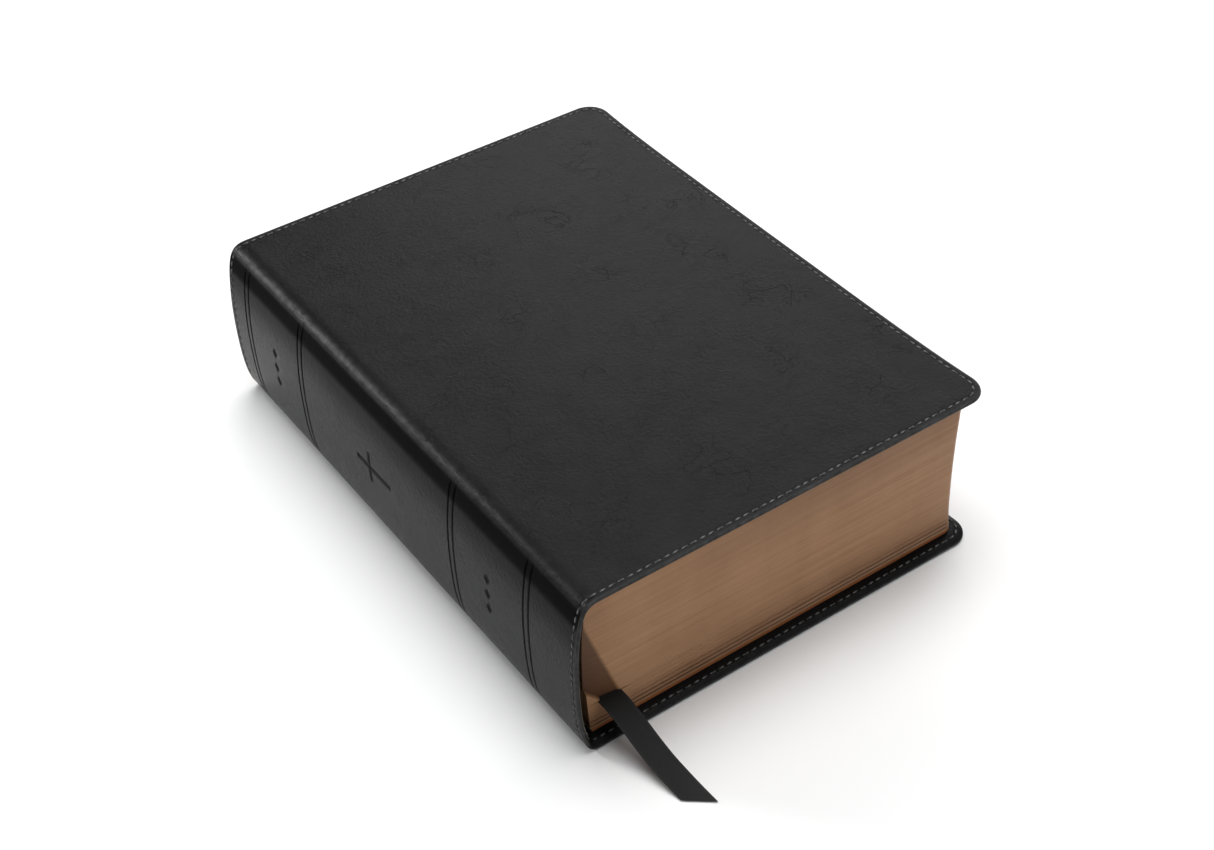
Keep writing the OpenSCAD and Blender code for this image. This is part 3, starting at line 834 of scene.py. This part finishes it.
def page_block(name, z0, z1, low_at=None):
    """A closed stack of leaves: streaked edges all round, printed faces above and below."""
    n = max(6, int(round((z1 - z0) / ROW)))
    zs = np.linspace(z0, z1, n + 1)
    zs[1:-1] += rng.uniform(-0.1, 0.1, n - 1)
    t_tail = np.r_[np.arange(0, NEAR + 0.01, 0.5), np.linspace(NEAR, TAIL_RUN, 58)[1:]]
    verts, shade, foot = [], [], []
    for i, z in enumerate(zs):
        ends = i in (0, n)
        jit = rng.normal(0, 0.018) * (not ends)
        xb = BLOCK_BACK - 1.2 * bow(z) + rng.normal(0, 0.04)
        top = max(0.0, z - (BLOCK_TOP - TOP_R))
        xb += TOP_R - math.sqrt(max(0.0, TOP_R**2 - top * top))
        xb += 0.4 * max(0.0, (BLOCK_LOW + 1.5) - z)
        xf = PAGE_FORE - 1.3 * bow(z) + 0.45 * math.exp(-(((z - 6.0) / 4.0) ** 2)) + jit
        h = PAGE_HALF + jit * 0.8
        dark = inset = 0.0
        for cz, cd, cw in CREASES:
            g = math.exp(-(((z - cz) / cw) ** 2))
            inset += cd * g
            # painted shade in the creases between sections
            dark = max(dark, 0.92 * g * min(1.0, cd / 0.4))
        low_dark = 0.30 * float(1 - step(5.0, 22.0, z))
        phase = rng.uniform(0, 6.28, 3) * (not ends)

        def wob(u):
            waves = np.sin(u / 17 + phase[0]) + np.sin(u / 41 + phase[1]) + 0.6 * np.sin(u / 7.5 + phase[2])
            return 0.016 * waves

        width = xf - PAGE_R - xb
        spread = xb + NEAR + (t_tail - NEAR) / (TAIL_RUN - NEAR) * (width - NEAR)
        x = np.where(t_tail < NEAR, xb + t_tail, spread)
        shaped = i == 0 and low_at is not None
        zz = low_at(x) if shaped else np.full(len(x), z)
        inside, deep = recess(x, zz)
        edge = inset * (0.55 + 0.45 * step(-60, 60, x))
        y = -h + edge + wob(x) + inside * (0.7 + 1.5 * deep)
        tail = np.stack([x, y, zz], 1)
        # painted shade in the recess above the ribbon and in the creases; the edges are also darker towards the
        # bottom
        tail_dark = np.maximum(np.maximum(inside * (0.76 + 0.22 * deep), dark), low_dark)
        # painted shadow under the front cover along the top of the tail edge
        tail_dark = np.maximum(tail_dark, 0.34 * step(40.0, 68.0, z) * step(-60.0, 10.0, x))
        ang = np.linspace(0, math.pi / 2, 7)[1:]
        cx, cy = xf - inset - PAGE_R, -h + inset + PAGE_R
        ys = np.linspace(cy, -cy, 74)[1:]
        hx = x[::-1]
        by = np.linspace(h - inset, -h + edge[0], 42)[1:-1]
        outline = np.concatenate([
            np.stack([cx + PAGE_R * np.sin(ang), cy - PAGE_R * np.cos(ang)], 1),
            np.stack([cx + PAGE_R + wob(ys + 90) * np.sin(np.linspace(0, math.pi, 73)), ys], 1),
            np.stack([cx + PAGE_R * np.cos(ang), -cy + PAGE_R * np.sin(ang)], 1),
            np.stack([hx, h - inset + wob(hx + 33)], 1),
            np.stack([np.full(40, xb) + 0.05 * np.sin(by / 9 + phase[0]), by], 1),
        ])
        heights = low_at(outline[:, 0]) if shaped else np.full(len(outline), z)
        loop = np.concatenate([tail, np.c_[outline, heights]])
        verts.append(loop)
        shade.append(np.r_[tail_dark, np.full(len(outline), max(dark, low_dark))])
        foot.append(np.full(len(loop), float(1 - step(3.9, 4.5, z))))
    m = len(verts[0])
    middle = 0.5
    caps = []
    for loop, z in ((verts[0], z0 if low_at is None else SLIT), (verts[-1], z1)):
        inner = loop.copy()
        inner[:, 0] = (loop[:, 0] - middle) * (1 - CAP_RIM / 83) + middle
        inner[:, 1] = loop[:, 1] * (1 - CAP_RIM / PAGE_HALF)
        inner[:, 2] = z
        caps.append(inner)
    faces, mat = [], []
    for i in range(len(zs) - 1):
        faces += tube_faces(i * m, (i + 1) * m, m)
    mat += [0] * len(faces)
    total = len(zs) * m
    low, high = total, total + m
    last = (len(zs) - 1) * m
    faces += [(low + j, low + (j + 1) % m, (j + 1) % m, j) for j in range(m)]
    faces += [(last + j, last + (j + 1) % m, high + (j + 1) % m, high + j) for j in range(m)]
    faces += [tuple(reversed(range(low, low + m))), tuple(range(high, high + m))]
    mat += [0] * (2 * m) + [1, 1]
    on_caps = [np.zeros(2 * m)]
    marks = {"shade": np.concatenate(shade + on_caps), "foot": np.concatenate(foot + on_caps)}
    return make(name, np.concatenate(verts + caps), faces, [GILT, PAGE], face_mat=mat, marks=marks)


def slit_edge(x):
    """The lowest leaf above the ribbon: down on the leaves below it, but lifted where the ribbon comes out."""
    return 16.05 + 0.37 * step(-80.5, -79.0, x) * (1 - step(-66.5, -63.5, x))


lower_block = page_block("page_block_lower", BLOCK_LOW, LOWER_TOP)
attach(lower_block, "lower_pages")
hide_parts("lower_sections")
for k in range(1, 6):
    z0 = SLIT if k == 1 else group_low[k - 1]
    z1 = group_low[k] - 0.02 if k < 5 else BLOCK_TOP
    ob = page_block(f"page_block_{k}", z0, z1, slit_edge if k == 1 else None)
    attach(ob, f"pages_{k}")
    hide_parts(f"sections_{k}")

# ---------------------------------------------------------------- the ribbon marker
RIBBON_W, RIBBON_T = 9.6, 0.4
WEAVE_UV = 0.32  # UV units to a millimetre of ribbon
# Each point of a route has the ribbon's centre, and the direction across it as (x, z) or (x, y, z).
inner_route = [
    ((-82.9, 96, 9.8), (0, 1)), ((-82.9, 114, 9.8), (0, 1)), ((-82.8, 117.5, 10), (0, 1)),
    ((-82.2, 119.2, 10.8), (0.3, 1)), ((-80.8, 119.8, 12.6), (0.9, 0.8)), ((-79.2, 119.4, 14.6), (1, 0.35)),
    ((-78.2, 118.2, 16), (1, 0.05)), ((-77.8, 116.4, 16.2), (1, 0)), ((-77.6, 108, 16.2), (1, 0)),
    ((-76.4, 60, 16.2), (1, 0)), ((-75.0, 0, 16.2), (1, 0)), ((-73.8, -60, 16.2), (1, 0)),
    ((-72.98, -103.8, 16.2), (1, 0)),
]
tail_route = [
    ((-72.98, -104.2, 16.2), (1, 0, 0)), ((-72.9, -108.8, 16.2), (1, 0, 0)), ((-72.85, -113.2, 16.2), (1, 0, 0)),
    ((-72.8, -117.2, 16.2), (1, 0, 0)), ((-72.7, -119.5, 16.1), (1, 0, 0)), ((-72.5, -122, 15.6), (1, 0, 0)),
    ((-72.3, -124.8, 14.6), (1, 0, 0)), ((-72.0, -127.8, 13.2), (1, 0, 0)), ((-71.6, -131, 11.5), (1, 0, 0)),
    ((-71.1, -135, 9.2), (1, 0, 0)), ((-70.5, -139.5, 6.8), (1, 0, 0)), ((-69.9, -144, 4.8), (1, 0, 0)),
    ((-69.2, -148.8, 3.1), (1, 0, 0)), ((-68.6, -153.6, 1.8), (1, -0.3, 0)), ((-68.1, -157.6, 0.95), (1, -0.6, 0)),
    ((-67.8, -160.4, 0.5), (1, -0.8, 0)),
]


def catmull(points, spacing=0.9):
    """Points along a smooth curve through the given ones, any number of columns."""
    p = np.array(points, float)
    t = arc_length(p[:, :3])
    m = np.gradient(p, t, axis=0)
    out = []
    for i in range(len(p) - 1):
        h = t[i + 1] - t[i]
        n = max(2, int(math.ceil(h / spacing)))
        steps = np.linspace(0, 1, n, endpoint=False)
        out += [hermite(p[i], p[i + 1], m[i], m[i + 1], h, u) for u in steps]
    out.append(p[-1])
    return np.array(out)


def ribbon(name, route):
    """A woven strip with rolled selvedges, swept along its route."""
    rows = catmull([list(c) + ([w[0], 0.0, w[1]] if len(w) == 2 else list(w)) for c, w in route])
    centre, side = rows[:, :3], rows[:, 3:]
    side = side / np.linalg.norm(side[:, [0, 2]], axis=1)[:, None]
    tangent = np.gradient(centre, axis=0)
    tangent /= np.linalg.norm(tangent, axis=1)[:, None]
    face = np.cross(side, -tangent)
    face /= np.linalg.norm(face, axis=1)[:, None]
    run = arc_length(centre)
    across = np.array([-1, -0.97, -0.9, -0.8, -0.5, 0, 0.5, 0.8, 0.9, 0.97, 1])
    thick = np.array([0.25, 0.72, 1.0, 0.72, 0.62, 0.62, 0.62, 0.72, 1.0, 0.72, 0.25])
    section = [(a, t) for a, t in zip(across, thick)] + [(a, -t) for a, t in zip(across[::-1], thick[::-1])]
    verts, uv, edge, faces = [], [], [], []
    for c, s, f, r in zip(centre, side, face, run):
        for a, t in section:
            verts.append(c + s * a * RIBBON_W / 2 + f * t * RIBBON_T / 2)
            uv.append((r * WEAVE_UV, a * RIBBON_W / 2 * WEAVE_UV))
            edge.append(1.0 if abs(a) > 0.85 else 0.0)
    m = len(section)
    for i in range(len(centre) - 1):
        faces += tube_faces(i * m, (i + 1) * m, m)
    faces += [tuple(reversed(range(m))), tuple(range((len(centre) - 1) * m, len(centre) * m))]
    ob = make(name, verts, faces, [SATIN], uv, marks={"selvedge": edge}, sharp=70)
    fix_normals(ob)
    return ob, centre


ribbon_in, _ = ribbon("ribbon_inside", inner_route)
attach(ribbon_in, "lower_pages")
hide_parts("ribbon_inner")
ribbon_out, tail_line = ribbon("ribbon_marker", tail_route)
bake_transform(ribbon_out)
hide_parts("ribbon_tail")

# ---------------------------------------------------------------- what moves with what
for ob in (front_leather, spine_cloth, front_thread):
    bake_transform(ob)
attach(spine_board, "spine_panel")
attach(front_card, "front_cover")
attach(back_card, "back_cover")
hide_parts("front_board")
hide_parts("back_board")
for ob in (back_leather, back_cloth, back_thread):
    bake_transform(ob)
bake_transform(corner_leather)
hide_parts("front_cover_leather", "spine_leather")
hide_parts("back_cover_leather")
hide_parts("spine_stiffener")
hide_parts("spine_liner")
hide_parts("front_stitching", "spine_stitching")
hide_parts("back_stitching")

looks = {"back_pastedown": LINING, "front_pastedown": LINING,
         "back_flyleaf": ENDLEAF, "front_flyleaf": ENDLEAF, "lower_sewing": SEWING, "lower_lining": MULL}
looks.update({f"sewing_{k}": SEWING for k in range(1, 6)})
looks.update({f"lining_{k}": MULL for k in range(1, 6)})
for node, material in looks.items():
    nodes[node].data.materials.clear()
    nodes[node].data.materials.append(material)

# ---------------------------------------------------------------- floor and light
floor_mat = Nodes("floor")
floor_mat.finish((0.86, 0.86, 0.86, 1), 0.9, Specular_IOR_Level=0.1)
FLOOR, FLOOR_Z = 4000, -0.1
corners = ((-FLOOR, -FLOOR), (FLOOR, -FLOOR), (FLOOR, FLOOR), (-FLOOR, FLOOR))
floor = make("floor", [(x, y, FLOOR_Z) for x, y in corners], [(0, 1, 2, 3)], [floor_mat.mat])

world = bpy.data.worlds.new("studio")
bpy.context.scene.world = world
world.use_nodes = True
background = world.node_tree.nodes["Background"]
background.inputs["Color"].default_value = (0.95, 0.97, 1.0, 1)
background.inputs["Strength"].default_value = 0.14


def softbox(name, place, aim, size, power):
    """An area light at a place, turned to its aim, in metres and watts."""
    data = bpy.data.lights.new(name, "AREA")
    data.shape = "RECTANGLE"
    data.size, data.size_y = size
    data.energy = power
    ob = bpy.data.objects.new(name, data)
    ob.location = place
    ob.rotation_euler = (Vector(aim) - Vector(place)).to_track_quat("-Z", "Y").to_euler()
    bpy.context.scene.collection.objects.link(ob)


softbox("overhead", (0.1, 0.1, 1.6), (0, 0, 0), (1.2, 1.2), 28)
softbox("sheen_light", (0.98, 1.02, 0.90), (0, 0, 0.05), (1.3, 0.7), 10)
softbox("edge_light", (-0.93, 1.26, 0.74), (-0.08, 0.08, 0.07), (0.36, 0.09), 12)
softbox("fill", (0.45, -1.35, 0.45), (0, -0.1, 0.03), (1.2, 0.8), 5)

bpy.context.scene.view_settings.view_transform = "Standard"
bpy.context.scene.view_settings.look = "None"
